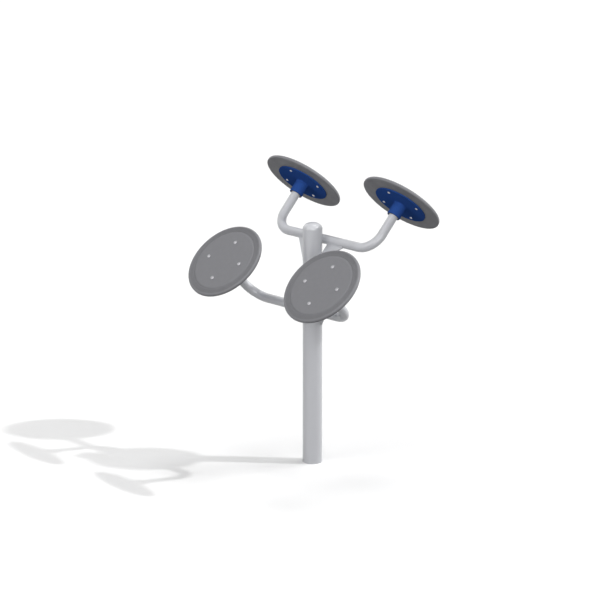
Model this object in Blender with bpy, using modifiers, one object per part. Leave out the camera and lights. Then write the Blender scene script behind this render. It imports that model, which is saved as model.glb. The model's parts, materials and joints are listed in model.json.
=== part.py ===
"""Tai chi wheel trainer: a round post carries two bent bars, and each bar carries two tilted hand wheels.

The origin is the centre of the post's foot, at ground level. +Z is up, the bars run along X, the upper
pair of wheels faces +Y and the lower pair faces -Y. Sizes are in metres and angles in radians.
"""

import math

import bmesh
import bpy

# Clearances shared by the whole object
FIT_GAP = 0.0003
CUT_OVERRUN = 0.002

# Post and its cap
POST_DIAMETER = 0.1016
POST_WALL = 0.0036
POST_ABOVE_BAR = 0.067
DOME_HEIGHT = 0.032
CAP_WALL = 0.003

# Bars: one bent tube for each pair of wheels
TUBE_DIAMETER = 0.0483
TUBE_WALL = 0.0032
BEND_RADIUS = 0.102
UPPER_BAR_HEIGHT = 1.187
LOWER_BAR_HEIGHT = 0.849
WHEEL_SPACING = 0.716
WHEEL_REACH = 0.311
WHEEL_TILT = math.radians(46.0)

# Gusset plates between the post and each bar
GUSSET_THICKNESS = 0.008
GUSSET_WIDTH = 0.110
GUSSET_DROP = 0.134
GUSSET_TUCK = 0.021

# Grip disc
DISC_DIAMETER = 0.438
DISC_THICKNESS = 0.020
DISC_EDGE_RADIUS = 0.006
FACE_DIAMETER = 0.344
BAND_DIAMETER = 0.370
BAND_DEPTH = 0.0015

# Hub: a flange with a boss for the bearings
FLANGE_DIAMETER = 0.286
FLANGE_THICKNESS = 0.006
BOSS_DIAMETER = 0.071
HUB_LENGTH = 0.076
HUB_FILLET = 0.004
LIP_THICKNESS = 0.003
LIP_COVER = 0.003
SKIRT_CLEARANCE = 0.0025

# Bearings, spacer and axle
BEARING_BORE = 0.025
BEARING_DIAMETER = 0.052
BEARING_WIDTH = 0.015
SPACER_LENGTH = 0.010
SPACER_WALL = 0.003
SHOULDER_DIAMETER = 0.031
PLUG_LENGTH = 0.035
PLUG_CHAMFER = 0.002
THREAD_DIAMETER = 0.020
THREAD_PROUD = 0.001
AXLE_END_CLEARANCE = 0.004
AXLE_NUT_FLATS = 0.030
AXLE_NUT_HEIGHT = 0.014
TUBE_END_CLEARANCE = 0.001

# Seal pressed into the open end of the hub
SEAL_DIAMETER = 0.062
SEAL_LENGTH = 0.008
SEAL_RECESS = 0.0005
SEAL_CLEARANCE = 0.0005

# Bolts through the disc and the flange, each screwed into a barrel nut
BOLT_CIRCLE = 0.228
BOLT_COUNT = 4
BOLT_DIAMETER = 0.010
BOLT_HOLE_DIAMETER = 0.011
HEAD_DIAMETER = 0.020
HEAD_HEIGHT = 0.0035
NUT_HEAD_DIAMETER = 0.015
NUT_HEAD_HEIGHT = 0.0035

# Facets round each kind of piece
POST_SIDES = 40
CAP_RINGS = 4
DISC_SIDES = 56
HUB_SIDES = 32
SEAL_SIDES = 32
SHAFT_SIDES = 16
BOLT_SIDES = 10
HOLE_SIDES = 8
NUT_SIDES = 6
ARC_STEPS = 2
BEND_STEPS = 6
TUBE_BEVEL_RESOLUTION = 6
MERGE_DISTANCE = 0.00001
SHARP_ANGLE = math.radians(35.0)

# Places along a wheel's axis, from the disc's front face towards the bar
DISC_BACK = -DISC_THICKNESS
HUB_FRONT = DISC_BACK - FIT_GAP
FLANGE_BACK = HUB_FRONT - FLANGE_THICKNESS
HUB_END = HUB_FRONT - HUB_LENGTH
AXLE_END = HUB_FRONT - AXLE_END_CLEARANCE
AXLE_NUT_FRONT = AXLE_END - THREAD_PROUD
AXLE_NUT_BACK = AXLE_NUT_FRONT - AXLE_NUT_HEIGHT
FRONT_BEARING = AXLE_NUT_BACK - FIT_GAP
SPACER_FRONT = FRONT_BEARING - BEARING_WIDTH - FIT_GAP
REAR_BEARING = SPACER_FRONT - SPACER_LENGTH - FIT_GAP
LIP_FRONT = REAR_BEARING - BEARING_WIDTH - FIT_GAP
LIP_BACK = LIP_FRONT - LIP_THICKNESS
TUBE_END = LIP_BACK - TUBE_END_CLEARANCE
PLUG_END = TUBE_END - PLUG_LENGTH
SEAL_FRONT = HUB_END + SEAL_RECESS + SEAL_LENGTH
SEAL_SEAT = SEAL_FRONT + FIT_GAP
HEAD_SEAT = FIT_GAP
NUT_SEAT = FLANGE_BACK - FIT_GAP

# Radii and places that follow from the sizes above
POST_RADIUS = POST_DIAMETER / 2
POST_HEIGHT = UPPER_BAR_HEIGHT + POST_ABOVE_BAR
TUBE_RADIUS = TUBE_DIAMETER / 2
AXLE_RADIUS = BEARING_BORE / 2
BEARING_SEAT_RADIUS = BEARING_DIAMETER / 2 + FIT_GAP
LIP_RADIUS = BEARING_DIAMETER / 2 - LIP_COVER
SKIRT_RADIUS = TUBE_RADIUS + SKIRT_CLEARANCE
SEAL_SEAT_RADIUS = SEAL_DIAMETER / 2 + FIT_GAP
BAR_OFFSET = POST_RADIUS + TUBE_RADIUS + FIT_GAP

BARS = (("upper", UPPER_BAR_HEIGHT, 1), ("lower", LOWER_BAR_HEIGHT, -1))
SIDES = (("left", -1), ("right", 1))

# Colours, roughness and metallic value of each finish
GREY_COAT = ((0.46, 0.46, 0.48, 1.0), 0.35, 0.0)
BLUE_COAT = ((0.022, 0.070, 0.285, 1.0), 0.35, 0.0)
GREY_PLASTIC = ((0.215, 0.218, 0.225, 1.0), 0.55, 0.0)
BLACK_RUBBER = ((0.012, 0.016, 0.028, 1.0), 0.6, 0.0)
BRIGHT_STEEL = ((0.72, 0.72, 0.74, 1.0), 0.25, 1.0)
PLAIN_STEEL = ((0.45, 0.45, 0.46, 1.0), 0.4, 1.0)


def clear_scene():
    """Remove every object, so that the file holds the trainer alone."""
    for old in list(bpy.data.objects):
        bpy.data.objects.remove(old, do_unlink=True)


def new_collection(name):
    collection = bpy.data.collections.new(name)
    bpy.context.scene.collection.children.link(collection)
    return collection


def new_material(name, finish):
    colour, roughness, metallic = finish
    material = bpy.data.materials.new(name)
    material.use_nodes = True
    shader = material.node_tree.nodes["Principled BSDF"]
    shader.inputs["Base Color"].default_value = colour
    shader.inputs["Roughness"].default_value = roughness
    shader.inputs["Metallic"].default_value = metallic
    material.diffuse_color = colour
    return material


def add_empty(name, collection, location, rotation=(0.0, 0.0, 0.0), parent=None):
    empty = bpy.data.objects.new(name, None)
    empty.location = location
    empty.rotation_euler = rotation
    empty.parent = parent
    collection.objects.link(empty)
    return empty


def add_object(name, data, collection, parent=None, location=(0.0, 0.0, 0.0)):
    thing = bpy.data.objects.new(name, data)
    thing.parent = parent
    thing.location = location
    collection.objects.link(thing)
    return thing


def as_cutter(thing):
    thing.hide_render = True
    thing.display_type = "WIRE"
    return thing


def evaluated_mesh(thing, name):
    """The mesh that an object has after its modifiers, with its seams welded; the object is removed."""
    bpy.context.view_layer.update()
    graph = bpy.context.evaluated_depsgraph_get()
    mesh = bpy.data.meshes.new_from_object(thing.evaluated_get(graph), depsgraph=graph)
    mesh.name = name
    build = bmesh.new()
    build.from_mesh(mesh)
    bmesh.ops.remove_doubles(build, verts=build.verts, dist=MERGE_DISTANCE)
    bmesh.ops.recalc_face_normals(build, faces=build.faces)
    build.to_mesh(mesh)
    build.free()
    bpy.data.objects.remove(thing, do_unlink=True)
    return mesh


def smooth(mesh):
    mesh.shade_smooth()
    mesh.set_sharp_from_angle(angle=SHARP_ANGLE)
    return mesh


def turned(name, profile, sides, collection, closed=False):
    """A profile of (radius, height) points turned about Z; it runs down the outer side."""
    mesh = bpy.data.meshes.new(name)
    points = [(radius, 0.0, height) for radius, height in profile]
    edges = [(i, i + 1) for i in range(len(points) - 1)]
    if closed:
        edges.append((len(points) - 1, 0))
    mesh.from_pydata(points, edges, [])
    thing = add_object(name, mesh, collection)
    screw = thing.modifiers.new("turn", "SCREW")
    screw.steps = sides
    screw.render_steps = sides
    screw.use_merge_vertices = True
    screw.merge_threshold = MERGE_DISTANCE
    return thing


def turned_mesh(name, profile, sides, collection, closed=False):
    return smooth(evaluated_mesh(turned(name, profile, sides, collection, closed), name))


def quarter_arc(radius, height, reach_out, reach_up, start, steps):
    """Points on a quarter ellipse about (radius, height), from the angle start to start - 90 degrees."""
    points = []
    for i in range(steps + 1):
        angle = start - math.pi / 2 * i / steps
        points.append((radius + reach_out * math.cos(angle), height + reach_up * math.sin(angle)))
    return points


def bolt_hole_cutter(name, collection):
    """Pins through the disc and the flange, one at each bolt's place."""
    mesh = bpy.data.meshes.new(name)
    build = bmesh.new()
    depth = DISC_THICKNESS + FIT_GAP + FLANGE_THICKNESS + 2 * CUT_OVERRUN
    middle = (FLANGE_BACK - CUT_OVERRUN) + depth / 2
    for x, y in bolt_places():
        pin = bmesh.ops.create_cone(build, cap_ends=True, segments=HOLE_SIDES, depth=depth,
                                    radius1=BOLT_HOLE_DIAMETER / 2, radius2=BOLT_HOLE_DIAMETER / 2)
        bmesh.ops.translate(build, verts=pin["verts"], vec=(x, y, middle))
    build.to_mesh(mesh)
    build.free()
    return as_cutter(add_object(name, mesh, collection))


def bolt_places():
    radius = BOLT_CIRCLE / 2
    turns = [2 * math.pi * i / BOLT_COUNT for i in range(BOLT_COUNT)]
    return [(radius * math.cos(turn), radius * math.sin(turn)) for turn in turns]


def add_boolean(thing, cutter, operation="DIFFERENCE"):
    modifier = thing.modifiers.new(cutter.name, "BOOLEAN")
    modifier.operation = operation
    modifier.solver = "EXACT"
    modifier.object = cutter


def disc_mesh(collection, cutters):
    """Grip disc: a flat face, a shallow band round it and a rounded edge."""
    rim = DISC_DIAMETER / 2
    inner = rim - DISC_EDGE_RADIUS
    profile = [(0.0, 0.0), (FACE_DIAMETER / 2, 0.0), (BAND_DIAMETER / 2, -BAND_DEPTH)]
    profile += quarter_arc(inner, -BAND_DEPTH - DISC_EDGE_RADIUS, DISC_EDGE_RADIUS, DISC_EDGE_RADIUS,
                           math.pi / 2, ARC_STEPS)
    profile += quarter_arc(inner, DISC_BACK + DISC_EDGE_RADIUS, DISC_EDGE_RADIUS, DISC_EDGE_RADIUS,
                           0.0, ARC_STEPS)
    profile.append((0.0, DISC_BACK))
    disc = turned("disc", profile, DISC_SIDES, collection)
    holes = bolt_hole_cutter("disc_bolt_holes", cutters)
    add_boolean(disc, holes)
    return smooth(evaluated_mesh(disc, "disc"))


def hub_mesh(collection, cutters):
    """Hub: flange and boss in one piece, bored for two bearings and, past a lip, for the seal."""
    flange = FLANGE_DIAMETER / 2
    boss = BOSS_DIAMETER / 2
    profile = [
        (BEARING_SEAT_RADIUS, HUB_FRONT),
        (flange, HUB_FRONT),
        (flange, FLANGE_BACK),
        (boss + HUB_FILLET, FLANGE_BACK),
        (boss, FLANGE_BACK - HUB_FILLET),
        (boss, HUB_END),
        (SEAL_SEAT_RADIUS, HUB_END),
        (SEAL_SEAT_RADIUS, SEAL_SEAT),
        (SKIRT_RADIUS, SEAL_SEAT),
        (SKIRT_RADIUS, LIP_BACK),
        (LIP_RADIUS, LIP_BACK),
        (LIP_RADIUS, LIP_FRONT),
        (BEARING_SEAT_RADIUS, LIP_FRONT),
    ]
    hub = turned("hub", profile, HUB_SIDES, collection, closed=True)
    holes = bolt_hole_cutter("flange_bolt_holes", cutters)
    add_boolean(hub, holes)
    return smooth(evaluated_mesh(hub, "hub"))


def ring_profile(inner, outer, front, length):
    back = front - length
    return [(inner, front), (outer, front), (outer, back), (inner, back)]


def bearing_mesh(collection):
    """Sealed ball bearing, its rings, balls and shields in one solid; its front face is at height 0."""
    profile = ring_profile(AXLE_RADIUS + FIT_GAP, BEARING_DIAMETER / 2, 0.0, BEARING_WIDTH)
    return turned_mesh("bearing", profile, SHAFT_SIDES, collection, closed=True)


def spacer_mesh(collection):
    """Sleeve on the axle that holds the bearings' inner rings apart."""
    inner = AXLE_RADIUS + FIT_GAP
    profile = ring_profile(inner, inner + SPACER_WALL, SPACER_FRONT, SPACER_LENGTH)
    return turned_mesh("bearing_spacer", profile, SHAFT_SIDES, collection, closed=True)


def axle_mesh(collection):
    """Stub axle: threaded end, bearing seat, shoulder, and a plug that is welded into the tube."""
    plug = TUBE_RADIUS - TUBE_WALL - FIT_GAP
    seat_front = AXLE_NUT_BACK - FIT_GAP
    profile = [
        (0.0, AXLE_END),
        (THREAD_DIAMETER / 2, AXLE_END),
        (THREAD_DIAMETER / 2, seat_front),
        (AXLE_RADIUS, seat_front),
        (AXLE_RADIUS, LIP_FRONT),
        (SHOULDER_DIAMETER / 2, LIP_FRONT),
        (SHOULDER_DIAMETER / 2, TUBE_END),
        (plug, TUBE_END),
        (plug, PLUG_END + PLUG_CHAMFER),
        (plug - PLUG_CHAMFER, PLUG_END),
        (0.0, PLUG_END),
    ]
    return turned_mesh("axle", profile, SHAFT_SIDES, collection)


def axle_nut_mesh(collection, cutters):
    """Hexagon nut on the axle's thread."""
    corner = AXLE_NUT_FLATS / 2 / math.cos(math.pi / NUT_SIDES)
    profile = [(0.0, AXLE_NUT_FRONT), (corner, AXLE_NUT_FRONT), (corner, AXLE_NUT_BACK), (0.0, AXLE_NUT_BACK)]
    nut = turned("axle_nut", profile, NUT_SIDES, collection)
    bore = THREAD_DIAMETER / 2 + FIT_GAP
    hole = [
        (0.0, AXLE_NUT_FRONT + CUT_OVERRUN),
        (bore, AXLE_NUT_FRONT + CUT_OVERRUN),
        (bore, AXLE_NUT_BACK - CUT_OVERRUN),
        (0.0, AXLE_NUT_BACK - CUT_OVERRUN),
    ]
    add_boolean(nut, as_cutter(turned("axle_nut_hole", hole, SHAFT_SIDES, cutters)))
    return smooth(evaluated_mesh(nut, "axle_nut"))


def seal_mesh(collection):
    """Rubber ring in the hub's open end, running close round the tube."""
    profile = ring_profile(TUBE_RADIUS + SEAL_CLEARANCE, SEAL_DIAMETER / 2, SEAL_FRONT, SEAL_LENGTH)
    return turned_mesh("hub_seal", profile, SEAL_SIDES, collection, closed=True)


def bolt_mesh(collection):
    """Domed bolt with its domed barrel nut on, one solid; Z = 0 is the disc's front face."""
    shank = BOLT_DIAMETER / 2
    profile = quarter_arc(0.0, HEAD_SEAT, HEAD_DIAMETER / 2, HEAD_HEIGHT, math.pi / 2, ARC_STEPS)
    profile[0] = (0.0, HEAD_SEAT + HEAD_HEIGHT)
    profile += [(shank, HEAD_SEAT), (shank, NUT_SEAT)]
    profile += quarter_arc(0.0, NUT_SEAT, NUT_HEAD_DIAMETER / 2, NUT_HEAD_HEIGHT, 0.0, ARC_STEPS)
    profile[-1] = (0.0, NUT_SEAT - NUT_HEAD_HEIGHT)
    return turned_mesh("bolt", profile, BOLT_SIDES, collection)


def finished(name, mesh, finish, collection, parent=None, location=(0.0, 0.0, 0.0)):
    """A piece of the trainer with a material of its own on its object."""
    thing = add_object(name, mesh, collection, parent, location)
    if not mesh.materials:
        mesh.materials.append(None)
    slot = thing.material_slots[0]
    slot.link = "OBJECT"
    slot.material = new_material(name, finish)
    return thing


def build_post(collection):
    outer = POST_RADIUS
    inner = POST_RADIUS - POST_WALL
    profile = [(inner, POST_HEIGHT), (outer, POST_HEIGHT), (outer, 0.0), (inner, 0.0)]
    finished("post", turned_mesh("post", profile, POST_SIDES, collection, closed=True), GREY_COAT, collection)


def build_post_cap(collection):
    """Pressed dome on the post's open top."""
    seat = POST_HEIGHT + FIT_GAP
    outside = quarter_arc(0.0, seat, POST_RADIUS, DOME_HEIGHT, math.pi / 2, CAP_RINGS)
    outside[0] = (0.0, seat + DOME_HEIGHT)
    inside = quarter_arc(0.0, seat, POST_RADIUS - CAP_WALL, DOME_HEIGHT - CAP_WALL, math.pi / 2, CAP_RINGS)
    inside[0] = (0.0, seat + DOME_HEIGHT - CAP_WALL)
    profile = outside + inside[::-1]
    finished("post_cap", turned_mesh("post_cap", profile, POST_SIDES, collection), GREY_COAT, collection)


def bar_path():
    """Centre line of a bar in its own plane, from the left wheel's end to the right one's."""
    half = WHEEL_SPACING / 2
    leg_top = WHEEL_REACH + TUBE_END
    bend = [math.pi / 2 * i / BEND_STEPS for i in range(BEND_STEPS + 1)]
    right = [(half - BEND_RADIUS * (1 - math.sin(a)), BEND_RADIUS * (1 - math.cos(a))) for a in bend]
    right.append((half, leg_top))
    left = [(-x, z) for x, z in reversed(right)]
    return left + right


def build_bar(name, frame, collection):
    """Bent tube, open at both ends, where the stub axles are welded in."""
    curve = bpy.data.curves.new(name, "CURVE")
    curve.dimensions = "3D"
    curve.bevel_depth = TUBE_RADIUS
    curve.bevel_resolution = TUBE_BEVEL_RESOLUTION
    curve.use_fill_caps = False
    path = bar_path()
    spline = curve.splines.new("POLY")
    spline.points.add(len(path) - 1)
    for point, (x, z) in zip(spline.points, path):
        point.co = (x, 0.0, z, 1.0)
    mesh = smooth(evaluated_mesh(add_object(name + "_path", curve, collection), name))
    bpy.data.curves.remove(curve)
    bar = finished(name, mesh, GREY_COAT, collection, frame)
    wall = bar.modifiers.new("wall", "SOLIDIFY")
    wall.thickness = TUBE_WALL
    wall.offset = -1.0


def build_gusset(name, side, frame, post_cutter, collection):
    """Triangular plate in the bar's plane, welded along the bar and down the post's side."""
    post_side = POST_RADIUS + FIT_GAP
    top = -TUBE_RADIUS - FIT_GAP
    post_centre = -BAR_OFFSET / math.cos(WHEEL_TILT)
    outline = [
        (post_side, top),
        (post_side + GUSSET_WIDTH, top),
        (post_side - GUSSET_TUCK, top - GUSSET_DROP),
        (post_side - GUSSET_TUCK, post_centre),
        (post_side, post_centre),
    ]
    curve = bpy.data.curves.new(name, "CURVE")
    curve.dimensions = "2D"
    curve.fill_mode = "BOTH"
    curve.extrude = GUSSET_THICKNESS / 2
    spline = curve.splines.new("POLY")
    spline.use_cyclic_u = True
    spline.points.add(len(outline) - 1)
    for point, (x, z) in zip(spline.points, outline):
        point.co = (side * x, z, 0.0, 1.0)
    mesh = evaluated_mesh(add_object(name + "_outline", curve, collection), name)
    bpy.data.curves.remove(curve)
    gusset = finished(name, mesh, GREY_COAT, collection, frame)
    gusset.rotation_euler = (math.pi / 2, 0.0, 0.0)
    add_boolean(gusset, post_cutter)


def wheel_meshes(collection, cutters):
    return {
        "disc": disc_mesh(collection, cutters),
        "hub": hub_mesh(collection, cutters),
        "bearing": bearing_mesh(collection),
        "spacer": spacer_mesh(collection),
        "axle": axle_mesh(collection),
        "axle_nut": axle_nut_mesh(collection, cutters),
        "seal": seal_mesh(collection),
        "bolt": bolt_mesh(collection),
    }


def build_wheel(name, side, frame, meshes, collection):
    """One wheel on its stub axle; its empty lies on the axis, at the disc's front face."""
    centre = (side * WHEEL_SPACING / 2, 0.0, WHEEL_REACH)
    spin = add_empty(name + "_spin", collection, centre, parent=frame)
    finished(name + "_disc", meshes["disc"], GREY_PLASTIC, collection, spin)
    finished(name + "_hub", meshes["hub"], BLUE_COAT, collection, spin)
    finished(name + "_hub_seal", meshes["seal"], BLACK_RUBBER, collection, spin)
    for label, front in (("front", FRONT_BEARING), ("rear", REAR_BEARING)):
        bearing = name + "_" + label + "_bearing"
        finished(bearing, meshes["bearing"], PLAIN_STEEL, collection, spin, (0.0, 0.0, front))
    for number, (x, y) in enumerate(bolt_places(), 1):
        bolt = name + "_bolt_" + str(number)
        finished(bolt, meshes["bolt"], BRIGHT_STEEL, collection, spin, (x, y, 0.0))
    mount = add_empty(name + "_axle_mount", collection, centre, parent=frame)
    finished(name + "_axle", meshes["axle"], PLAIN_STEEL, collection, mount)
    finished(name + "_bearing_spacer", meshes["spacer"], PLAIN_STEEL, collection, mount)
    finished(name + "_axle_nut", meshes["axle_nut"], PLAIN_STEEL, collection, mount)


def build_trainer():
    clear_scene()
    parts = new_collection("tai_chi_wheel_trainer")
    cutters = new_collection("cutters")
    build_post(parts)
    build_post_cap(parts)
    post_space = [
        (0.0, POST_HEIGHT),
        (POST_RADIUS + FIT_GAP, POST_HEIGHT),
        (POST_RADIUS + FIT_GAP, 0.0),
        (0.0, 0.0),
    ]
    post_cutter = as_cutter(turned("post_space", post_space, POST_SIDES, cutters))
    meshes = wheel_meshes(parts, cutters)
    for level, height, facing in BARS:
        lean = -facing * (math.pi / 2 - WHEEL_TILT)
        frame = add_empty(level + "_bar_frame", parts, (0.0, facing * BAR_OFFSET, height), (lean, 0.0, 0.0))
        build_bar(level + "_bar", frame, parts)
        for label, side in SIDES:
            build_gusset(level + "_" + label + "_gusset", side, frame, post_cutter, parts)
            build_wheel(level + "_" + label, side, frame, meshes, parts)


build_trainer()
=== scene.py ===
# Tai chi wheel trainer: the finish and fine shape of its pieces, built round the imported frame.
# Lengths are in metres. The upper pair of wheels faces +Y and the lower pair faces -Y.
import json
import math

import bmesh
import bpy
from mathutils import Matrix, Vector


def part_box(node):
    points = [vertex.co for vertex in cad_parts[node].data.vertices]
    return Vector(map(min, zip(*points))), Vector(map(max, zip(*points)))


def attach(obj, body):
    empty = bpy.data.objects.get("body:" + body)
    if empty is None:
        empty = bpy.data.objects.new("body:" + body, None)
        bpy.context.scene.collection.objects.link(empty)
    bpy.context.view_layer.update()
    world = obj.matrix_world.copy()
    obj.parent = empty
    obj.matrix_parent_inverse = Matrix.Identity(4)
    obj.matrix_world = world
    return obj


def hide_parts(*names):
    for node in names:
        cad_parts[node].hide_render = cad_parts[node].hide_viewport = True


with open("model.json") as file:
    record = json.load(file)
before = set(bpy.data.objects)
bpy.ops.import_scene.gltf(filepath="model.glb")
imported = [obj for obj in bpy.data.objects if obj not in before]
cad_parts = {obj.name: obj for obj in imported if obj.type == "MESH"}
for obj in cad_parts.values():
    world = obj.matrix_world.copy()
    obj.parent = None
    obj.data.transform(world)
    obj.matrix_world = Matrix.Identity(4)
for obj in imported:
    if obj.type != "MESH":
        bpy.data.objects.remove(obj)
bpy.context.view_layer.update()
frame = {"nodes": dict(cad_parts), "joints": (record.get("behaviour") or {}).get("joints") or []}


# Post: a round steel tube, cut square, powder coated in light grey after welding. It stands on its
# foot, and the bars and gussets are welded to it.
POST_WALL = 0.0036
POST_EDGE = 0.0008
POST_SIDES = 128
CORNER_STEPS = 4
SMOOTH_ANGLE = math.radians(38.0)
GREY_COAT = (0.556, 0.563, 0.592)
GREY_COAT_SHADE = (0.539, 0.546, 0.573)
GREY_ROUGHNESS = (0.30, 0.38)
GREY_SPECULAR = 0.5
GREY_SKIN = 0.5
SKIN_ROUGHNESS = 0.12
COAT_CLOUD_SCALE = 7.0
COAT_GRAIN_SCALE = 420.0
COAT_GRAIN_SHARE = 0.35
COAT_SHADE_RANGE = (0.45, 0.9)
PEEL_SCALE = 640.0
PEEL_DETAIL = 1.0
PEEL_STRENGTH = 0.25
PEEL_DEPTH = 0.00004
CLOUD_DETAIL = 3.0
CLOUD_RANGE = (0.3, 0.7)

post_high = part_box("post")[1]
post_radius = post_high.x
post_top = post_high.z


def eased(corners, steps=CORNER_STEPS):
    """An outline with each corner, given as (radius, height, ease), rounded off over its ease."""
    outline = []
    for i, (radius, height, ease) in enumerate(corners):
        here = Vector((radius, height))
        if ease == 0.0:
            outline.append((radius, height))
            continue
        start = here + (Vector(corners[i - 1][:2]) - here).normalized() * ease
        end = here + (Vector(corners[(i + 1) % len(corners)][:2]) - here).normalized() * ease
        for step in range(steps + 1):
            share = step / steps
            point = start * (1 - share) ** 2 + here * 2 * share * (1 - share) + end * share ** 2
            outline.append((point.x, point.y))
    return outline


def finished(name, build):
    """The mesh of a finished build."""
    mesh = bpy.data.meshes.new(name)
    build.to_mesh(mesh)
    build.free()
    return mesh


def turned(name, outline, sides, closed=False):
    """A mesh turned about Z from (radius, height) points, which run down its outer side."""
    build = bmesh.new()
    turns = [2 * math.pi * i / sides for i in range(sides)]
    rings = []
    for radius, height in outline:
        if radius == 0.0:
            rings.append([build.verts.new((0.0, 0.0, height))] * sides)
        else:
            places = [(radius * math.cos(t), radius * math.sin(t), height) for t in turns]
            rings.append([build.verts.new(place) for place in places])
    if closed:
        rings.append(rings[0])
    for upper, lower in zip(rings, rings[1:]):
        for i in range(sides):
            j = (i + 1) % sides
            build.faces.new(dict.fromkeys((upper[i], lower[i], lower[j], upper[j])))
    return finished(name, build)


def smoothed(mesh, angle=SMOOTH_ANGLE):
    """The mesh shaded smooth, with its true corners kept sharp."""
    mesh.shade_smooth()
    mesh.set_sharp_from_angle(angle=angle)
    return mesh


def placed(name, mesh, material, body, matrix=Matrix(), nodes=()):
    """A piece of the trainer in its finish, riding on its body in place of its plain solids."""
    piece = bpy.data.objects.new(name, mesh)
    bpy.context.scene.collection.objects.link(piece)
    piece.matrix_world = matrix
    if not mesh.materials:
        mesh.materials.append(material)
    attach(piece, body)
    if nodes:
        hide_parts(*nodes)
    return piece


def effect_group(name, relief):
    """An empty group that takes two colours and two roughnesses, and gives a finish and its relief."""
    group = bpy.data.node_groups.new(name, "ShaderNodeTree")
    given = (("Colour", "Color"), ("Shade", "Color"), ("Smoothest", "Float"), ("Roughest", "Float"))
    gives = (("Colour", "Color"), ("Roughness", "Float"), (relief, "Float"))
    for way, sockets in (("INPUT", given), ("OUTPUT", gives)):
        for label, kind in sockets:
            group.interface.new_socket(name=label, in_out=way, socket_type="NodeSocket" + kind)
    return group, group.nodes.new("NodeGroupInput").outputs, group.nodes.new("NodeGroupOutput").inputs


def noise(tree, place, scale, detail=2.0, roughness=0.5):
    """Noise at a scale in features a metre, read at a place."""
    node = tree.nodes.new("ShaderNodeTexNoise")
    node.inputs["Scale"].default_value = scale
    node.inputs["Detail"].default_value = detail
    node.inputs["Roughness"].default_value = roughness
    tree.links.new(place, node.inputs["Vector"])
    return node.outputs["Fac"]


def remapped(tree, value, low, high, new_low, new_high):
    """A value carried from one range to another and held inside it."""
    node = tree.nodes.new("ShaderNodeMapRange")
    node.inputs["From Min"].default_value = low
    node.inputs["From Max"].default_value = high
    for label, limit in (("To Min", new_low), ("To Max", new_high)):
        if isinstance(limit, float):
            node.inputs[label].default_value = limit
        else:
            tree.links.new(limit, node.inputs[label])
    tree.links.new(value, node.inputs["Value"])
    return node.outputs["Result"]


def mixed(tree, share, first, second):
    """Two colours mixed by a share."""
    node = tree.nodes.new("ShaderNodeMix")
    node.data_type = "RGBA"
    tree.links.new(share, node.inputs["Factor"])
    for label, colour in (("A", first), ("B", second)):
        socket = [s for s in node.inputs if s.name == label and s.type == "RGBA"][0]
        tree.links.new(colour, socket)
    return [s for s in node.outputs if s.type == "RGBA"][0]


def powder_coat_group():
    """Powder coat: cloudy shade, fine orange peel, and a gloss that varies with the clouds."""
    group, given, out = effect_group("powder_coat", "Peel")
    place = group.nodes.new("ShaderNodeTexCoord").outputs["Object"]
    cloud = noise(group, place, COAT_CLOUD_SCALE, CLOUD_DETAIL)
    grained = group.nodes.new("ShaderNodeMath")
    grained.operation = "MULTIPLY_ADD"
    grained.inputs[1].default_value = COAT_GRAIN_SHARE
    group.links.new(noise(group, place, COAT_GRAIN_SCALE), grained.inputs[0])
    group.links.new(cloud, grained.inputs[2])
    share = remapped(group, grained.outputs["Value"], *COAT_SHADE_RANGE, 0.0, 1.0)
    group.links.new(mixed(group, share, given["Colour"], given["Shade"]), out["Colour"])
    rough = remapped(group, cloud, *CLOUD_RANGE, given["Smoothest"], given["Roughest"])
    group.links.new(rough, out["Roughness"])
    group.links.new(noise(group, place, PEEL_SCALE, PEEL_DETAIL), out["Peel"])
    return group


def new_material(name):
    """A new material, with its node tree and its shader."""
    material = bpy.data.materials.new(name)
    material.use_nodes = True
    return material, material.node_tree, material.node_tree.nodes["Principled BSDF"]


def bumped(tree, shader, height, strength, depth):
    """A fine bump on a shader, from a height that runs from 0 to 1."""
    bump = tree.nodes.new("ShaderNodeBump")
    bump.inputs["Strength"].default_value = strength
    bump.inputs["Distance"].default_value = depth
    tree.links.new(height, bump.inputs["Height"])
    tree.links.new(bump.outputs["Normal"], shader.inputs["Normal"])


def effect_material(name, group, relief, colour, shade, roughness, strength, depth):
    """A material that takes its colour, roughness and fine relief from an effect group."""
    material, tree, shader = new_material(name)
    effect = tree.nodes.new("ShaderNodeGroup")
    effect.node_tree = group
    effect.inputs["Colour"].default_value = (*colour, 1.0)
    effect.inputs["Shade"].default_value = (*shade, 1.0)
    effect.inputs["Smoothest"].default_value = roughness[0]
    effect.inputs["Roughest"].default_value = roughness[1]
    tree.links.new(effect.outputs["Colour"], shader.inputs["Base Color"])
    tree.links.new(effect.outputs["Roughness"], shader.inputs["Roughness"])
    bumped(tree, shader, effect.outputs[relief], strength, depth)
    return material, shader


powder_coat = powder_coat_group()


def coat_material(name, colour, shade, roughness, specular, skin):
    """A powder coat in its own colour. Its skin is how much of a second, smoother gloss lies over it."""
    material, shader = effect_material(
        name, powder_coat, "Peel", colour, shade, roughness, PEEL_STRENGTH, PEEL_DEPTH
    )
    shader.inputs["Specular IOR Level"].default_value = specular
    shader.inputs["Coat Weight"].default_value = skin
    shader.inputs["Coat Roughness"].default_value = SKIN_ROUGHNESS
    return material


grey_coat = coat_material(
    "grey_powder_coat", GREY_COAT, GREY_COAT_SHADE, GREY_ROUGHNESS, GREY_SPECULAR, GREY_SKIN
)

post_bore = post_radius - POST_WALL
post_corners = [
    (post_bore, post_top, 0.0),
    (post_radius, post_top, 0.0),
    (post_radius, 0.0, POST_EDGE),
    (post_bore, 0.0, POST_EDGE),
]
post_mesh = smoothed(turned("post_tube", eased(post_corners), POST_SIDES, closed=True))
placed("post_tube", post_mesh, grey_coat, "frame", nodes=["post"])


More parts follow.
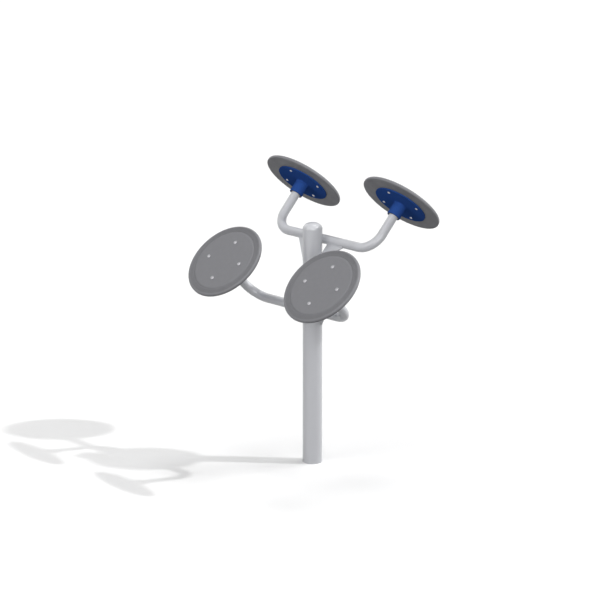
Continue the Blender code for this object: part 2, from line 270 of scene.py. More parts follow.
# Post cap: a pressed steel dome, seam welded to the post's top and dressed smooth, so that only a
# faint swelling shows at the seam under the coat.
CAP_WALL = 0.003
CAP_RINGS = 20
SEAM_HEIGHT = 0.005
SEAM_SWELL = 0.0004
SEAM_STEPS = 8

cap_low, cap_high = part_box("post_cap")
cap_rise = cap_high.z - cap_low.z


def dome(radius, rise, seat, rings):
    """Points from a dome's crown down to its rim."""
    turns = [math.pi / 2 * i / rings for i in range(rings + 1)]
    points = [(radius * math.sin(t), seat + rise * math.cos(t)) for t in turns]
    points[0] = (0.0, seat + rise)
    return points


cap_outline = dome(post_radius, cap_rise, cap_low.z, CAP_RINGS)
cap_outline += dome(post_radius - CAP_WALL, cap_rise - CAP_WALL, cap_low.z, CAP_RINGS)[::-1]
cap_mesh = smoothed(turned("post_dome", cap_outline, POST_SIDES))
placed("post_dome", cap_mesh, grey_coat, "frame", nodes=["post_cap"])

seam_outline = []
for step in range(SEAM_STEPS + 1):
    turn = math.pi * step / SEAM_STEPS
    swell, lift = SEAM_SWELL * math.sin(turn), SEAM_HEIGHT / 2 * math.cos(turn)
    seam_outline.append((post_radius + swell, cap_low.z + lift))
seam_outline += [(post_radius - SEAM_SWELL, height) for _, height in seam_outline[::-1]]
seam_mesh = smoothed(turned("cap_seam", seam_outline, POST_SIDES, closed=True))
placed("cap_seam", seam_mesh, grey_coat, "frame")


# Bars: two steel tubes, each bent on a mandrel to a shallow U, welded across the post and coated
# with it. A stub axle is welded into each open end.
TUBE_RADIUS = 0.02415
TUBE_WALL = 0.0032
TUBE_SIDES = 64
TUBE_SETBACK = 0.0845
BEND_RADIUS = 0.102
BEND_STEPS = 28
FIT_GAP = 0.0003

bar_offset = post_radius + TUBE_RADIUS + FIT_GAP
wheels = {joint["child"].removesuffix("_wheel"): joint for joint in frame["joints"]}


def upright_matrix(axis, place):
    """Matrix of a frame at a place: X as the world's, Z along an axis."""
    across = Vector((1.0, 0.0, 0.0))
    matrix = Matrix((across, axis.cross(across), axis)).transposed().to_4x4()
    matrix.translation = place
    return matrix


def bar_frame(level):
    """A bar's own frame, Z up its legs from its middle, with its legs' reach and its half width."""
    joint = wheels[level + "_right"]
    axis = Vector(joint["axis"])
    half, wheel_y, wheel_z = joint["pos_m"]
    middle_y = math.copysign(bar_offset, axis.y)
    reach = (wheel_y - middle_y) / axis.y
    return upright_matrix(axis, (0.0, middle_y, wheel_z - reach * axis.z)), reach, half


def swept(name, path, radii, sides, closed=False, bore=0.0):
    """A round rod along points, with a radius for each, kept square to the path; bore makes it a tube."""
    sections = []
    side = None
    for i, point in enumerate(path):
        after = path[(i + 1) % len(path)] if closed else path[min(i + 1, len(path) - 1)]
        before = path[i - 1] if closed else path[max(i - 1, 0)]
        along = (after - before).normalized()
        if side is None:
            side = along.orthogonal()
        side = (side - along * side.dot(along)).normalized()
        sections.append((point, side, along.cross(side)))
    build = bmesh.new()
    turns = [2 * math.pi * k / sides for k in range(sides)]

    def ring(section, radius):
        point, side, up = section
        return [build.verts.new(point + (side * math.cos(t) + up * math.sin(t)) * radius) for t in turns]

    rings = [ring(section, radius) for section, radius in zip(sections, radii)]
    if bore:
        rings += [ring(section, bore) for section in reversed(sections)]
    if closed or bore:
        rings.append(rings[0])
    else:
        build.faces.new(rings[0])
        build.faces.new(rings[-1])
    for first, second in zip(rings, rings[1:]):
        for k in range(sides):
            m = (k + 1) % sides
            build.faces.new((first[k], first[m], second[m], second[k]))
    bmesh.ops.recalc_face_normals(build, faces=build.faces)
    return finished(name, build)


def bar_path(half, leg_top):
    """A bar's centre line in its own plane, from the left wheel's end to the right one's."""
    turns = [math.pi / 2 * i / BEND_STEPS for i in range(BEND_STEPS + 1)]
    right = [
        Vector((half - BEND_RADIUS * (1 - math.sin(t)), 0.0, BEND_RADIUS * (1 - math.cos(t))))
        for t in turns
    ]
    right.append(Vector((half, 0.0, leg_top)))
    left = [Vector((-point.x, 0.0, point.z)) for point in reversed(right)]
    return left + right


for level in ("upper", "lower"):
    matrix, reach, half = bar_frame(level)
    name = level + "_bar_tube"
    path = bar_path(half, reach - TUBE_SETBACK)
    tube = swept(name, path, [TUBE_RADIUS] * len(path), TUBE_SIDES, bore=TUBE_RADIUS - TUBE_WALL)
    placed(name, smoothed(tube), grey_coat, "frame", matrix, [level + "_bar"])


# Gussets: four plates cut from 8 mm steel sheet, one on each side of the post under each bar. Each
# stands in its bar's plane, welded to the bar along the top and to the post down to its tip.
GUSSET_THICKNESS = 0.008
GUSSET_WIDTH = 0.110
GUSSET_DROP = 0.134
GUSSET_TUCK = 0.021
GUSSET_EDGE = 0.0007
GUSSET_EDGE_STEPS = 2
GUSSET_CURVE_STEPS = 16
GUSSET_CORNER_ANGLE = math.radians(40.0)
GUSSET_SMOOTH_ANGLE = math.radians(25.0)
ROUND_PROFILE = 0.5
HALVINGS = 40

post_side = post_radius + FIT_GAP
gusset_top = -TUBE_RADIUS - FIT_GAP
gusset_out = post_side + GUSSET_WIDTH
gusset_faces = (("back", -GUSSET_THICKNESS / 2), ("front", GUSSET_THICKNESS / 2))
post_sides = (("left", -1), ("right", 1))


def post_reach(matrix, depth, height):
    """How far the post's side stands out at a depth and a height in a bar's plane."""
    away = (matrix @ Vector((0.0, depth, height))).y
    return math.sqrt(max(post_side ** 2 - away ** 2, 0.0))


def post_middle(matrix, depth):
    """The height in a bar's plane at which the plane crosses the middle of the post."""
    start = matrix @ Vector((0.0, depth, 0.0))
    return -start.y / matrix.col[2].y


def slant(height):
    """How far out a gusset's slanting edge is at a height."""
    share = (gusset_top - height) / GUSSET_DROP
    return gusset_out - (GUSSET_WIDTH + GUSSET_TUCK) * share


def gusset_tip(matrix, depth):
    """The height at which a gusset's slanting edge runs into the post."""
    low, high = gusset_top - GUSSET_DROP, post_middle(matrix, depth)
    for _ in range(HALVINGS):
        middle = (low + high) / 2
        if slant(middle) > post_reach(matrix, depth, middle):
            high = middle
        else:
            low = middle
    return high


def post_line(matrix, depth, highest):
    """Points up the post's side in a bar's plane, from a gusset's tip to a height."""
    tip = gusset_tip(matrix, depth)
    heights = [tip + (highest - tip) * i / GUSSET_CURVE_STEPS for i in range(GUSSET_CURVE_STEPS + 1)]
    return [Vector((post_reach(matrix, depth, height), depth, height)) for height in heights]


def gusset_mesh(name, matrix, side):
    """A gusset with its edges eased; side is 1 for the right and -1 for the left."""
    build = bmesh.new()
    faces = []
    for _, depth in gusset_faces:
        outline = [Vector((post_side, depth, gusset_top)), Vector((gusset_out, depth, gusset_top))]
        outline += post_line(matrix, depth, post_middle(matrix, depth))
        faces.append([build.verts.new((side * point.x, point.y, point.z)) for point in outline])
    back, front = faces
    for i in range(len(front)):
        build.faces.new((back[i - 1], back[i], front[i], front[i - 1]))
    build.faces.new(back)
    build.faces.new(front)
    bmesh.ops.recalc_face_normals(build, faces=build.faces)
    edges = [edge for edge in build.edges if edge.calc_face_angle(0.0) > GUSSET_CORNER_ANGLE]
    bmesh.ops.bevel(
        build,
        geom=edges,
        offset=GUSSET_EDGE,
        segments=GUSSET_EDGE_STEPS,
        profile=ROUND_PROFILE,
        affect="EDGES",
    )
    return finished(name, build)


for level in ("upper", "lower"):
    matrix = bar_frame(level)[0]
    for label, side in post_sides:
        name = level + "_" + label + "_gusset"
        plate = smoothed(gusset_mesh(name + "_plate", matrix, side), GUSSET_SMOOTH_ANGLE)
        placed(name + "_plate", plate, grey_coat, "frame", matrix, [name])


# Welds: fillets laid by hand along each gusset and round the place where each bar touches the post,
# in a row of frozen drops, and coated with the rest of the frame.
BEAD_RADIUS = 0.0027
BEAD_PITCH = 0.0032
BEAD_STEP = 0.0006
BEAD_RIPPLE_SHARE = 0.16
BEAD_SIDES = 12
BEAD_LIFT = 0.0006
BEAD_START = 0.010
SADDLE_WIDTH = 0.0190
SADDLE_HEIGHT = 0.0130
SADDLE_PROUD = 0.0008
SADDLE_STEPS = 200
SADDLE_DROPS = 30


def bead(name, corners, radius):
    """A weld bead along points, with a ripple for each drop of metal and rounded ends."""
    path = []
    for start, end in zip(corners, corners[1:]):
        count = max(1, round((end - start).length / BEAD_STEP))
        path += [start.lerp(end, i / count) for i in range(count)]
    path.append(corners[-1])
    travelled = [0.0]
    for start, end in zip(path, path[1:]):
        travelled.append(travelled[-1] + (end - start).length)
    radii = []
    for here in travelled:
        ripple = 1 - BEAD_RIPPLE_SHARE * (1 - abs(math.sin(math.pi * here / BEAD_PITCH)))
        from_end = min(here, travelled[-1] - here) / radius
        rounding = math.sqrt(1 - (1 - min(from_end, 1.0)) ** 2)
        radii.append(radius * ripple * max(rounding, BEAD_RIPPLE_SHARE))
    return swept(name, path, radii, BEAD_SIDES)


def saddle(name, level):
    """The bead round the place where a bar touches the post."""
    matrix = bar_frame(level)[0]
    facing = math.copysign(1.0, matrix.translation.y)
    path, radii = [], []
    for i in range(SADDLE_STEPS):
        turn = 2 * math.pi * i / SADDLE_STEPS
        x, z = SADDLE_WIDTH * math.cos(turn), SADDLE_HEIGHT * math.sin(turn)
        on_post = math.sqrt(post_radius ** 2 - x ** 2)
        on_bar = bar_offset - math.sqrt(TUBE_RADIUS ** 2 - z ** 2)
        path.append(Vector((x, facing * (on_post + on_bar) / 2, matrix.translation.z + z)))
        ripple = 1 - BEAD_RIPPLE_SHARE * abs(math.sin(math.pi * i / SADDLE_STEPS * SADDLE_DROPS))
        radii.append(((on_bar - on_post) / 2 + SADDLE_PROUD) * ripple)
    return swept(name, path, radii, BEAD_SIDES, closed=True)


for level in ("upper", "lower"):
    matrix = bar_frame(level)[0]
    name = level + "_saddle_weld"
    placed(name, smoothed(saddle(name, level)), grey_coat, "frame")
    for label, side in post_sides:
        for face, depth in gusset_faces:
            lift = math.copysign(BEAD_LIFT, depth)
            ends = (post_side + BEAD_RADIUS, gusset_out - BEAD_RADIUS)
            along_bar = [Vector((side * x, depth + lift, gusset_top + BEAD_LIFT)) for x in ends]
            down_post = [
                Vector((side * point.x, point.y + lift, point.z))
                for point in post_line(matrix, depth, post_middle(matrix, depth) + BEAD_START)
            ]
            for place, corners in (("bar", along_bar), ("post", down_post)):
                name = "_".join((level, label, place, face, "weld"))
                weld = smoothed(bead(name, corners, BEAD_RADIUS))
                placed(name, weld, grey_coat, "frame", matrix)


# Stub axles, bearings, spacers and axle nuts: turned and ground steel inside each hub. The axle is
# welded into the bar's end, and the nut holds the two bearings on it with the spacer between them.
STEEL = (0.46, 0.46, 0.47)
STEEL_SHADE = (0.34, 0.34, 0.35)
STEEL_ROUGHNESS = (0.32, 0.5)
STEEL_CLOUD_SCALE = 90.0
MARK_SCALE = 700.0
MARK_DISTORTION = 1.5
MARK_DETAIL = 2.0
MARK_STRENGTH = 0.2
MARK_DEPTH = 0.00003


def turned_steel_group():
    """Turned steel: rings left by the tool about the piece's axis, and a cloudy dulling over them."""
    group, given, out = effect_group("turned_steel", "Marks")
    place = group.nodes.new("ShaderNodeTexCoord").outputs["Object"]
    rings = group.nodes.new("ShaderNodeTexWave")
    rings.wave_type = "RINGS"
    rings.rings_direction = "Z"
    rings.inputs["Scale"].default_value = MARK_SCALE
    rings.inputs["Distortion"].default_value = MARK_DISTORTION
    rings.inputs["Detail"].default_value = MARK_DETAIL
    group.links.new(place, rings.inputs["Vector"])
    cloud = noise(group, place, STEEL_CLOUD_SCALE, CLOUD_DETAIL)
    group.links.new(mixed(group, cloud, given["Colour"], given["Shade"]), out["Colour"])
    rough = remapped(group, cloud, *CLOUD_RANGE, given["Smoothest"], given["Roughest"])
    group.links.new(rough, out["Roughness"])
    group.links.new(rings.outputs["Fac"], out["Marks"])
    return group


turned_steel = turned_steel_group()


def steel_material(name, colour, shade, roughness):
    """A bare or plated steel, with its tool marks as a fine bump."""
    material, shader = effect_material(
        name, turned_steel, "Marks", colour, shade, roughness, MARK_STRENGTH, MARK_DEPTH
    )
    shader.inputs["Metallic"].default_value = 1.0
    return material


plain_steel = steel_material("plain_steel_finish", STEEL, STEEL_SHADE, STEEL_ROUGHNESS)
for wheel in wheels:
    for label in ("axle", "front_bearing", "rear_bearing", "bearing_spacer", "axle_nut"):
        frame["nodes"][wheel + "_" + label].material_slots[0].material = plain_steel


# Hubs: a steel boss, bored for the bearings, and a round flange in one piece, powder coated in a
# deep blue. The flange carries the grip disc on its face. Heights run from the disc's face.
DISC_THICKNESS = 0.020
FLANGE_RADIUS = 0.143
FLANGE_THICKNESS = 0.006
FLANGE_FRONT_EASE = 0.0010
FLANGE_BACK_EASE = 0.0018
BOSS_RADIUS = 0.0355
BOSS_EASE = 0.0010
HUB_LENGTH = 0.076
HUB_FILLET = 0.005
BEARING_RADIUS = 0.026
BORE_EASE = 0.0008
LIP_RADIUS = 0.023
LIP_THICKNESS = 0.003
LIP_FRONT = -0.0805
SKIRT_CLEARANCE = 0.0025
SEAL_RADIUS = 0.031
SEAL_LENGTH = 0.008
SEAL_RECESS = 0.0005
SEAL_SEAT_EASE = 0.0006
HUB_SIDES = 128
BOLT_CIRCLE_RADIUS = 0.114
BOLT_HOLE_RADIUS = 0.0055
BOLT_COUNT = 4
HOLE_SIDES = 32
HOLE_OVERRUN = 0.002
BLUE_COAT = (0.0295, 0.087, 0.323)
BLUE_COAT_SHADE = (0.0265, 0.080, 0.301)
BLUE_ROUGHNESS = (0.35, 0.42)
BLUE_SPECULAR = 0.0
BLUE_SKIN = 0.0

disc_back = -DISC_THICKNESS
flange_front = disc_back - FIT_GAP
flange_back = flange_front - FLANGE_THICKNESS
hub_end = flange_front - HUB_LENGTH
lip_back = LIP_FRONT - LIP_THICKNESS
seal_back = hub_end + SEAL_RECESS
seal_front = seal_back + SEAL_LENGTH
seal_seat = seal_front + FIT_GAP
seal_seat_radius = SEAL_RADIUS + FIT_GAP
bearing_seat_radius = BEARING_RADIUS + FIT_GAP
skirt_radius = TUBE_RADIUS + SKIRT_CLEARANCE

bolt_turns = [2 * math.pi * i / BOLT_COUNT for i in range(BOLT_COUNT)]
bolt_places = [Vector((math.cos(t), math.sin(t), 0.0)) * BOLT_CIRCLE_RADIUS for t in bolt_turns]


def wheel_matrix(wheel):
    """Matrix of a wheel: Z out along its axis, the origin on the middle of the disc's face."""
    return upright_matrix(Vector(wheels[wheel]["axis"]), wheels[wheel]["pos_m"])


def on_wheels(label, mesh, material, node):
    """A piece placed on each of the four wheels, in place of the wheel's plain solid."""
    for wheel in wheels:
        body = wheel + "_wheel"
        placed(wheel + "_" + label, mesh, material, body, wheel_matrix(wheel), [wheel + "_" + node])


def drilled(mesh, highest, lowest):
    """The mesh with a hole through it at each bolt's place."""
    pins = bmesh.new()
    depth = highest - lowest + 2 * HOLE_OVERRUN
    radii = {"radius1": BOLT_HOLE_RADIUS, "radius2": BOLT_HOLE_RADIUS}
    for place in bolt_places:
        pin = bmesh.ops.create_cone(pins, cap_ends=True, segments=HOLE_SIDES, depth=depth, **radii)
        middle = place + Vector((0.0, 0.0, (highest + lowest) / 2))
        bmesh.ops.translate(pins, verts=pin["verts"], vec=middle)
    drill = bpy.data.objects.new("drill", finished("drill", pins))
    blank = bpy.data.objects.new("blank", mesh)
    for thing in (drill, blank):
        bpy.context.scene.collection.objects.link(thing)
    cut = blank.modifiers.new("holes", "BOOLEAN")
    cut.operation = "DIFFERENCE"
    cut.solver = "EXACT"
    cut.object = drill
    bpy.context.view_layer.update()
    graph = bpy.context.evaluated_depsgraph_get()
    result = bpy.data.meshes.new_from_object(blank.evaluated_get(graph), depsgraph=graph)
    result.name = mesh.name + "_drilled"
    for thing in (drill, blank):
        data = thing.data
        bpy.data.objects.remove(thing, do_unlink=True)
        bpy.data.meshes.remove(data)
    return result


blue_coat = coat_material(
    "blue_powder_coat", BLUE_COAT, BLUE_COAT_SHADE, BLUE_ROUGHNESS, BLUE_SPECULAR, BLUE_SKIN
)
hub_corners = [
    (bearing_seat_radius, flange_front, BORE_EASE),
    (FLANGE_RADIUS, flange_front, FLANGE_FRONT_EASE),
    (FLANGE_RADIUS, flange_back, FLANGE_BACK_EASE),
    (BOSS_RADIUS, flange_back, HUB_FILLET),
    (BOSS_RADIUS, hub_end, BOSS_EASE),
    (seal_seat_radius, hub_end, SEAL_SEAT_EASE),
    (seal_seat_radius, seal_seat, 0.0),
    (skirt_radius, seal_seat, 0.0),
    (skirt_radius, lip_back, 0.0),
    (LIP_RADIUS, lip_back, 0.0),
    (LIP_RADIUS, LIP_FRONT, 0.0),
    (bearing_seat_radius, LIP_FRONT, 0.0),
]
hub_blank = turned("hub_blank", eased(hub_corners), HUB_SIDES, closed=True)
hub_mesh = smoothed(drilled(hub_blank, flange_front, flange_back))
on_wheels("hub_casting", hub_mesh, blue_coat, "hub")


# Hub seals: a moulded ring of black rubber pressed into each hub's open end. A groove in its outer
# face parts its body from a lip that runs close round the bar and keeps rain out of the bearings.
SEAL_CLEARANCE = 0.0005
SEAL_SIDES = 96
SEAL_FRONT_EASE = 0.0006
SEAL_BACK_EASE = 0.0008
SEAL_LIP_WIDTH = 0.0014
SEAL_LIP_EASE = 0.0004
GROOVE_START = 0.0022
GROOVE_END = 0.0036
GROOVE_EDGE = 0.0045
GROOVE_EDGE_EASE = 0.0006
GROOVE_DEPTH = 0.0016
GROOVE_EASE = 0.0005
RUBBER = (0.012, 0.016, 0.028)
RUBBER_DUST = (0.040, 0.042, 0.048)
DUST_START_SHARE = 0.45
DUST_SCALE = 160.0
DUST_DETAIL = 4.0
RUBBER_ROUGHNESS = (0.45, 0.65)
RUBBER_CLOUD_SCALE = 60.0
RUBBER_GRAIN_SCALE = 1400.0
RUBBER_GRAIN_STRENGTH = 0.3
RUBBER_GRAIN_DEPTH = 0.00005


def ramped(tree, value, stops):
    """A colour read off a value, from stops in rising order, each given as (value, colour)."""
    node = tree.nodes.new("ShaderNodeValToRGB")
    elements = node.color_ramp.elements
    for element, (position, colour) in zip(elements, stops):
        element.position = position
        element.color = (*colour, 1.0)
    for position, colour in stops[2:]:
        elements.new(position).color = (*colour, 1.0)
    tree.links.new(value, node.inputs["Fac"])
    return node.outputs["Color"]


black_rubber, rubber_tree, rubber_shader = new_material("black_rubber_finish")
rubber_place = rubber_tree.nodes.new("ShaderNodeTexCoord").outputs["Object"]
rubber_dust = noise(rubber_tree, rubber_place, DUST_SCALE, DUST_DETAIL)
rubber_colour = ramped(rubber_tree, rubber_dust, [(DUST_START_SHARE, RUBBER), (1.0, RUBBER_DUST)])
rubber_tree.links.new(rubber_colour, rubber_shader.inputs["Base Color"])
rubber_cloud = noise(rubber_tree, rubber_place, RUBBER_CLOUD_SCALE)
rubber_rough = remapped(rubber_tree, rubber_cloud, *CLOUD_RANGE, *RUBBER_ROUGHNESS)
rubber_tree.links.new(rubber_rough, rubber_shader.inputs["Roughness"])
rubber_grain = noise(rubber_tree, rubber_place, RUBBER_GRAIN_SCALE)
bumped(rubber_tree, rubber_shader, rubber_grain, RUBBER_GRAIN_STRENGTH, RUBBER_GRAIN_DEPTH)

seal_bore = TUBE_RADIUS + SEAL_CLEARANCE
groove_floor = seal_back + GROOVE_DEPTH
seal_corners = [
    (seal_bore, seal_front, SEAL_LIP_EASE),
    (SEAL_RADIUS, seal_front, SEAL_FRONT_EASE),
    (SEAL_RADIUS, seal_back, SEAL_BACK_EASE),
    (seal_bore + GROOVE_EDGE, seal_back, GROOVE_EDGE_EASE),
    (seal_bore + GROOVE_END, groove_floor, GROOVE_EASE),
    (seal_bore + GROOVE_START, groove_floor, GROOVE_EASE),
    (seal_bore + SEAL_LIP_WIDTH, seal_back, SEAL_LIP_EASE),
    (seal_bore, seal_back, SEAL_LIP_EASE),
]
seal_mesh = smoothed(turned("seal_ring", eased(seal_corners), SEAL_SIDES, closed=True))
on_wheels("rubber_seal", seal_mesh, black_rubber, "hub_seal")


# Grip discs: thick grey plastic moulded with a flat face, a lower band of fine grip ridges whose colour
# is darkened on the front as painted shade, and a round rim polished by hands. Each lies on its hub's
# flange, held by four bolts.
DISC_RADIUS = 0.219
FACE_RADIUS = 0.173
FACE_EASE = 0.004
BAND_RADIUS = 0.183
BAND_DEPTH = 0.0026
RIDGE_PITCH = 0.0046
RIDGE_COUNT = 5
RIDGE_STEPS = 8
RIDGE_HEIGHT = 0.0009
RIM_DROP = 0.0012
RIM_RISE = 0.0014
RIM_EASE = 0.0105
BACK_EASE = 0.0060
ROUND_STEPS = 10
DISC_SIDES = 192
DISC_GREY = (0.218, 0.219, 0.232)
DISC_GREY_SHADE = (0.210, 0.211, 0.223)
MOTTLE_SCALE = 38.0
MOTTLE_DETAIL = 6.0
MOTTLE_ROUGHNESS = 0.65
MOTTLE_DARK = 0.35
MOTTLE_LIGHT = 0.65
# Share of the disc's colour kept on the front of the ridged band: painted shade for the shade between the
# ridges.
BAND_PAINTED_SHADE_SHARE = 0.84
POLISH_START = 0.2085
POLISH_FULL = 0.2125
POLISH_SHARE = 0.2
POLISH_ROUGHNESS = 0.3
FRONT_FADE = (-0.015, -0.009)
PLASTIC_SPECULAR = 0.1
PLASTIC_ROUGHNESS = (0.46, 0.6)
PLASTIC_CLOUD_SCALE = 14.0
PLASTIC_GRAIN_SCALE = 900.0
PLASTIC_GRAIN_STRENGTH = 0.35
PLASTIC_GRAIN_DEPTH = 0.00008
BARE = (0.0, 0.0, 0.0)
COVERED = (1.0, 1.0, 1.0)

band_end = BAND_RADIUS + RIDGE_COUNT * RIDGE_PITCH

grey_plastic, plastic_tree, plastic_shader = new_material("moulded_grey_plastic")
plastic_shader.inputs["Specular IOR Level"].default_value = PLASTIC_SPECULAR
plastic_place = plastic_tree.nodes.new("ShaderNodeTexCoord").outputs["Object"]
mottle = noise(plastic_tree, plastic_place, MOTTLE_SCALE, MOTTLE_DETAIL, MOTTLE_ROUGHNESS)
plastic_colour = ramped(
    plastic_tree, mottle, [(MOTTLE_DARK, DISC_GREY_SHADE), (MOTTLE_LIGHT, DISC_GREY)]
)
plastic_flat = plastic_tree.nodes.new("ShaderNodeVectorMath")
plastic_flat.operation = "MULTIPLY"
plastic_flat.inputs[1].default_value = (1.0, 1.0, 0.0)
plastic_tree.links.new(plastic_place, plastic_flat.inputs[0])
plastic_length = plastic_tree.nodes.new("ShaderNodeVectorMath")
plastic_length.operation = "LENGTH"
plastic_tree.links.new(plastic_flat.outputs["Vector"], plastic_length.inputs[0])
plastic_radius = plastic_length.outputs["Value"]
plastic_height = plastic_tree.nodes.new("ShaderNodeSeparateXYZ")
plastic_tree.links.new(plastic_place, plastic_height.inputs["Vector"])
plastic_front = remapped(plastic_tree, plastic_height.outputs["Z"], *FRONT_FADE, 0.0, 1.0)


def on_front(mask):
    """A mask kept to the front half of a disc."""
    node = plastic_tree.nodes.new("ShaderNodeMath")
    node.operation = "MULTIPLY"
    plastic_tree.links.new(mask, node.inputs[0])
    plastic_tree.links.new(plastic_front, node.inputs[1])
    return node.outputs["Value"]


# Painted shade: the disc's colour is darkened over the ridged band on the front, in place of the shade
# that falls between the ridges.
band_painted_shade = ramped(plastic_tree, plastic_radius, [
    (FACE_RADIUS, BARE),
    (BAND_RADIUS, COVERED),
    (band_end, COVERED),
    (POLISH_START, BARE),
])
band_shaded_colour = plastic_tree.nodes.new("ShaderNodeVectorMath")
band_shaded_colour.operation = "SCALE"
band_shaded_colour.inputs["Scale"].default_value = BAND_PAINTED_SHADE_SHARE
plastic_tree.links.new(plastic_colour, band_shaded_colour.inputs[0])
shade_painted_colour = mixed(plastic_tree, on_front(band_painted_shade), plastic_colour, band_shaded_colour.outputs["Vector"])
plastic_tree.links.new(shade_painted_colour, plastic_shader.inputs["Base Color"])
polish = remapped(plastic_tree, plastic_radius, POLISH_START, POLISH_FULL, 0.0, POLISH_SHARE)
plastic_tree.links.new(on_front(polish), plastic_shader.inputs["Coat Weight"])
plastic_shader.inputs["Coat Roughness"].default_value = POLISH_ROUGHNESS
plastic_cloud = noise(plastic_tree, plastic_place, PLASTIC_CLOUD_SCALE, CLOUD_DETAIL)
plastic_rough = remapped(plastic_tree, plastic_cloud, *CLOUD_RANGE, *PLASTIC_ROUGHNESS)
plastic_tree.links.new(plastic_rough, plastic_shader.inputs["Roughness"])
plastic_grain = noise(plastic_tree, plastic_place, PLASTIC_GRAIN_SCALE)
bumped(plastic_tree, plastic_shader, plastic_grain, PLASTIC_GRAIN_STRENGTH, PLASTIC_GRAIN_DEPTH)

disc_outline = eased([
    (0.0, 0.0, 0.0),
    (FACE_RADIUS, 0.0, FACE_EASE),
    (BAND_RADIUS - FACE_EASE, -BAND_DEPTH, FACE_EASE),
    (BAND_RADIUS, -BAND_DEPTH, 0.0),
])
for i in range(1, RIDGE_COUNT * RIDGE_STEPS):
    rise = RIDGE_HEIGHT * (1 - math.cos(2 * math.pi * i / RIDGE_STEPS)) / 2
    disc_outline.append((BAND_RADIUS + RIDGE_PITCH * i / RIDGE_STEPS, rise - BAND_DEPTH))
disc_outline += eased([
    (band_end, -BAND_DEPTH, 0.0),
    (band_end + RIM_RISE, -RIM_DROP, RIM_RISE / 2),
    (DISC_RADIUS, -RIM_DROP, RIM_EASE),
    (DISC_RADIUS, disc_back, BACK_EASE),
    (0.0, disc_back, 0.0),
], ROUND_STEPS)
disc_blank = turned("disc_blank", disc_outline, DISC_SIDES)
disc_mesh = smoothed(drilled(disc_blank, 0.0, disc_back))
on_wheels("grip_disc", disc_mesh, grey_plastic, "disc")


# Bolts: bright plated steel, with a low smooth dome on the disc's face and the smaller dome of a
# barrel nut behind the flange. Each clamps the disc to its hub.
HEAD_RADIUS = 0.010
HEAD_HEIGHT = 0.0035
HEAD_RIM = 0.0008
SHANK_RADIUS = 0.005
NUT_RADIUS = 0.0075
NUT_HEIGHT = 0.0035
DOME_RINGS = 8
BOLT_SIDES = 48
BOLT_SMOOTH_ANGLE = math.radians(30.0)
BRIGHT = (0.37, 0.37, 0.385)
BRIGHT_SHADE = (0.31, 0.31, 0.325)
BRIGHT_ROUGHNESS = (0.30, 0.42)

bright_steel = steel_material("bright_plated_steel", BRIGHT, BRIGHT_SHADE, BRIGHT_ROUGHNESS)


def low_dome(radius, seat, rim, height):
    """Points from a low dome's crown down its side to its seat; a height below zero faces down."""
    turns = [math.pi / 2 * i / DOME_RINGS for i in range(DOME_RINGS + 1)]
    rise = height - math.copysign(rim, height)
    points = [(radius * math.sin(t), seat + height - rise * (1 - math.cos(t))) for t in turns]
    points[0] = (0.0, seat + height)
    return points + [(radius, seat)]


nut_seat = flange_back - FIT_GAP
bolt_outline = low_dome(HEAD_RADIUS, FIT_GAP, HEAD_RIM, HEAD_HEIGHT)
bolt_outline += [(SHANK_RADIUS, FIT_GAP), (SHANK_RADIUS, nut_seat)]
bolt_outline += low_dome(NUT_RADIUS, nut_seat, HEAD_RIM, -NUT_HEIGHT)[::-1]
bolt_mesh = smoothed(turned("bolt_set", bolt_outline, BOLT_SIDES), BOLT_SMOOTH_ANGLE)
for wheel in wheels:
    for number, place in enumerate(bolt_places, 1):
        name = wheel + "_bolt_" + str(number)
        matrix = wheel_matrix(wheel) @ Matrix.Translation(place)
        placed(name + "_set", bolt_mesh, bright_steel, wheel + "_wheel", matrix, [name])


# Studio: a plain pale floor that runs far past the view, and a sky that looks white and gives hardly
# any light. One small far lamp gives the long shadow, and large soft ones stand round and over the
# object. Each lamp is given as its name, azimuth, elevation, strength and width in degrees.
FLOOR_HALF = 400.0
FLOOR_SEEN = 0.93
FLOOR_BOUNCE = 0.12
SKY_COLOUR = (1.0, 1.0, 1.0, 1.0)
SKY_SEEN = 1.0
SKY_STRENGTH = 0.02
LAMPS = (
    ("key_lamp", 131.5, 46.5, 1.12, 1.5),
    ("top_lamp", 190.0, 74.0, 0.60, 18.0),
    ("left_lamp", -4.0, 44.0, 1.12, 60.0),
    ("low_left_lamp", -15.0, 8.0, 0.45, 30.0),
    ("front_lamp", 54.0, 14.0, 1.80, 50.0),
    ("right_lamp", 121.0, 40.0, 0.50, 50.0),
    ("side_lamp", 156.0, 20.0, 1.24, 28.0),
    ("back_lamp", 256.0, 22.0, 0.38, 50.0),
)


def seen_by_eye(tree):
    """1 for rays from the camera, also by a mirror or through glass, and 0 for those that light things."""
    rays = tree.nodes.new("ShaderNodeLightPath")
    seen = rays.outputs["Is Camera Ray"]
    for kind in ("Is Glossy Ray", "Is Transmission Ray"):
        either = tree.nodes.new("ShaderNodeMath")
        either.operation = "MAXIMUM"
        tree.links.new(seen, either.inputs[0])
        tree.links.new(rays.outputs[kind], either.inputs[1])
        seen = either.outputs["Value"]
    return seen


floor_build = bmesh.new()
floor_corners = [Vector((x, y, 0.0)) * FLOOR_HALF for x, y in ((-1, -1), (1, -1), (1, 1), (-1, 1))]
floor_build.faces.new([floor_build.verts.new(corner) for corner in floor_corners])
floor_mesh = finished("studio_floor", floor_build)
floor = bpy.data.objects.new("studio_floor", floor_mesh)
bpy.context.scene.collection.objects.link(floor)

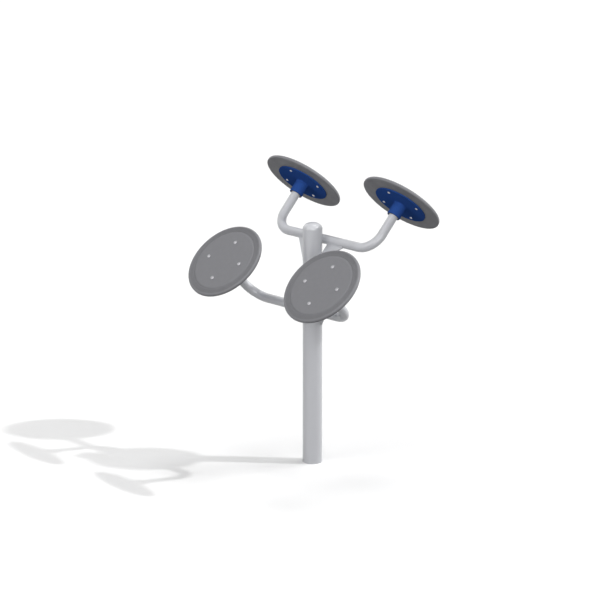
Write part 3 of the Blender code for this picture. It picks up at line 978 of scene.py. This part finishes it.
floor_material, floor_tree, first_shader = new_material("pale_floor")
floor_tree.nodes.remove(first_shader)
floor_share = remapped(floor_tree, seen_by_eye(floor_tree), 0.0, 1.0, FLOOR_BOUNCE, FLOOR_SEEN)
floor_shader = floor_tree.nodes.new("ShaderNodeBsdfDiffuse")
floor_tree.links.new(floor_share, floor_shader.inputs["Color"])
floor_tree.links.new(floor_shader.outputs["BSDF"], floor_tree.nodes["Material Output"].inputs["Surface"])
floor_mesh.materials.append(floor_material)

world = bpy.data.worlds.new("studio_sky")
world.use_nodes = True
sky_tree = world.node_tree
sky_strength = remapped(sky_tree, seen_by_eye(sky_tree), 0.0, 1.0, SKY_STRENGTH, SKY_SEEN)
sky_tree.links.new(sky_strength, sky_tree.nodes["Background"].inputs["Strength"])
sky_tree.nodes["Background"].inputs["Color"].default_value = SKY_COLOUR
bpy.context.scene.world = world


def from_object(azimuth, elevation):
    """Direction from the object at angles in degrees; azimuth 0 is towards -Y, and 90 is +X."""
    turn, lift = math.radians(azimuth), math.radians(elevation)
    return Vector((math.sin(turn) * math.cos(lift), -math.cos(turn) * math.cos(lift), math.sin(lift)))


for name, azimuth, elevation, strength, width in LAMPS:
    lamp_data = bpy.data.lights.new(name, "SUN")
    lamp_data.energy = strength
    lamp_data.angle = math.radians(width)
    lamp = bpy.data.objects.new(name, lamp_data)
    lamp.rotation_euler = from_object(azimuth, elevation).to_track_quat("Z", "Y").to_euler()
    bpy.context.scene.collection.objects.link(lamp)


# Camera: the photograph's angle and framing, from a long way off through a long lens.
VIEW_AZIMUTH = 45.99
VIEW_ELEVATION = 14.92
VIEW_DISTANCE = 15.02
VIEW_AIM = Vector((-0.0449, -0.0465, 0.8739))
VIEW_LENS = 174.58
VIEW_SENSOR = 36.0
VIEW_FAR = 1000.0

away = from_object(VIEW_AZIMUTH, VIEW_ELEVATION)
camera_data = bpy.data.cameras.new("camera")
camera_data.lens = VIEW_LENS
camera_data.sensor_width = VIEW_SENSOR
camera_data.clip_end = VIEW_FAR
camera = bpy.data.objects.new("camera", camera_data)
camera.location = VIEW_AIM + away * VIEW_DISTANCE
camera.rotation_euler = away.to_track_quat("Z", "Y").to_euler()
bpy.context.scene.collection.objects.link(camera)
bpy.context.scene.camera = camera
bpy.context.scene.view_settings.view_transform = "Standard"
